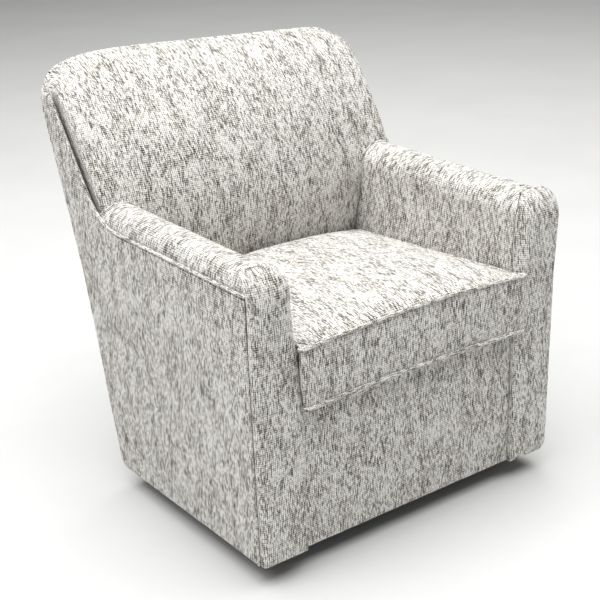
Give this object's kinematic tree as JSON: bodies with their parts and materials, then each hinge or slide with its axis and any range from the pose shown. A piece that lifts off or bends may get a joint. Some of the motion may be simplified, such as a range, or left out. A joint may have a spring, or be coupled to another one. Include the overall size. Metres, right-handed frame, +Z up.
{
  "type": "swivel glider chair",
  "caption": "Upholstered swivel glider armchair with rolled arms, raked arched back and a loose boxed seat cushion, on a ring base that turns and swings it fore and aft.",
  "frame": {"origin": "on the floor, on the swivel axis", "axes": "+Z up, front of the seat towards -Y, +X to the right of a person facing the chair"},
  "size_m": [0.7824, 0.7724, 0.892],
  "materials": {
    "upholstery_fabric": "ivory woven cloth with dark slubs",
    "foam": "open-cell foam",
    "deck_cloth": "plain woven deck cloth",
    "dust_cloth": "black spun-bonded cloth",
    "webbing": "elastic webbing",
    "frame_wood": "sawn hardwood",
    "black_steel": "satin black paint",
    "zinc_steel": "zinc plated",
    "ball_steel": "polished",
    "spring_steel": "oiled",
    "nylon": "moulded",
    "black_plastic": "moulded",
    "zip_nylon": "woven tape with coil",
    "zip_metal": "die cast"
  },
  "bodies": {
    "base": {"base_ring": "black_steel", "floor_strip": "black_plastic", "cross_bars": "black_steel", "bearing_lower_plate": "zinc_steel", "bearing_balls": "ball_steel", "king_bolt": "zinc_steel", "bearing_bolts": "zinc_steel"},
    "swivel": {"bearing_upper_plate": "zinc_steel", "swivel_plate": "black_steel", "swivel_plate_bolts": "zinc_steel", "hanger_left": "black_steel", "hanger_right": "black_steel", "upper_pivot_pins": "zinc_steel"},
    "front_links": {"front_link_left": "black_steel", "front_link_right": "black_steel", "front_link_bushings": "nylon"},
    "rear_links": {"rear_link_left": "black_steel", "rear_link_right": "black_steel", "rear_link_bushings": "nylon"},
    "seat_unit": {"carriage_left": "black_steel", "carriage_right": "black_steel", "carriage_bolts": "zinc_steel", "lower_pivot_pins": "zinc_steel", "mechanism_rails": "frame_wood", "front_rail_bottom": "frame_wood", "front_rail_top": "frame_wood", "front_post_left": "frame_wood", "front_post_right": "frame_wood", "side_rail_left": "frame_wood", "side_rail_right": "frame_wood", "seat_rail_left": "frame_wood", "seat_rail_right": "frame_wood", "arm_rail_left": "frame_wood", "arm_rail_right": "frame_wood", "back_post_left": "frame_wood", "back_post_right": "frame_wood", "crest_rail": "frame_wood", "rear_rail_bottom": "frame_wood", "rear_rail_seat": "frame_wood", "seat_springs": "spring_steel", "spring_clips": "zinc_steel", "seat_deck": "deck_cloth", "back_webbing": "webbing", "front_panel": "upholstery_fabric", "facing_left": "upholstery_fabric", "facing_right": "upholstery_fabric", "side_panel_left": "upholstery_fabric", "side_panel_right": "upholstery_fabric", "outside_back": "upholstery_fabric", "dust_cover": "dust_cloth", "arm_pad_left": "upholstery_fabric", "arm_pad_right": "upholstery_fabric", "inside_back": "upholstery_fabric", "side_welts": "upholstery_fabric", "front_welts": "upholstery_fabric"},
    "cushion": {"cushion_cover": "upholstery_fabric", "cushion_core": "foam", "cushion_welts": "upholstery_fabric", "zip_tape": "zip_nylon"},
    "zip_slider": {"zip_slider": "zip_metal"}
  },
  "joints": [
    {"name": "swivel", "type": "hinge", "parent": "base", "child": "swivel", "pos_m": [0, 0, 0.0388], "axis": [0, 0, 1], "continuous": true},
    {"name": "glide", "type": "hinge", "parent": "swivel", "child": "front_links", "pos_m": [0, -0.08, 0.205], "axis": [1, 0, 0], "range_deg": [-28, 28]},
    {"name": "rear_links_swing", "type": "hinge", "parent": "swivel", "child": "rear_links", "pos_m": [0, 0.08, 0.205], "axis": [1, 0, 0], "range_deg": [-28, 28]},
    {"name": "seat_level", "type": "hinge", "parent": "front_links", "child": "seat_unit", "pos_m": [0, -0.08, 0.075], "axis": [1, 0, 0], "range_deg": [-28, 28]},
    {"name": "cushion_pull", "type": "slide", "parent": "seat_unit", "child": "cushion", "axis": [0, -0.9974, 0.0715], "range_m": [0, 0.25]},
    {"name": "zip", "type": "slide", "parent": "cushion", "child": "zip_slider", "axis": [1, 0, 0], "range_m": [0, 0.414]}
  ],
  "couplings": [
    {"joint": "rear_links_swing", "follows": "glide", "ratio": 1},
    {"joint": "seat_level", "follows": "glide", "ratio": -1}
  ]
}
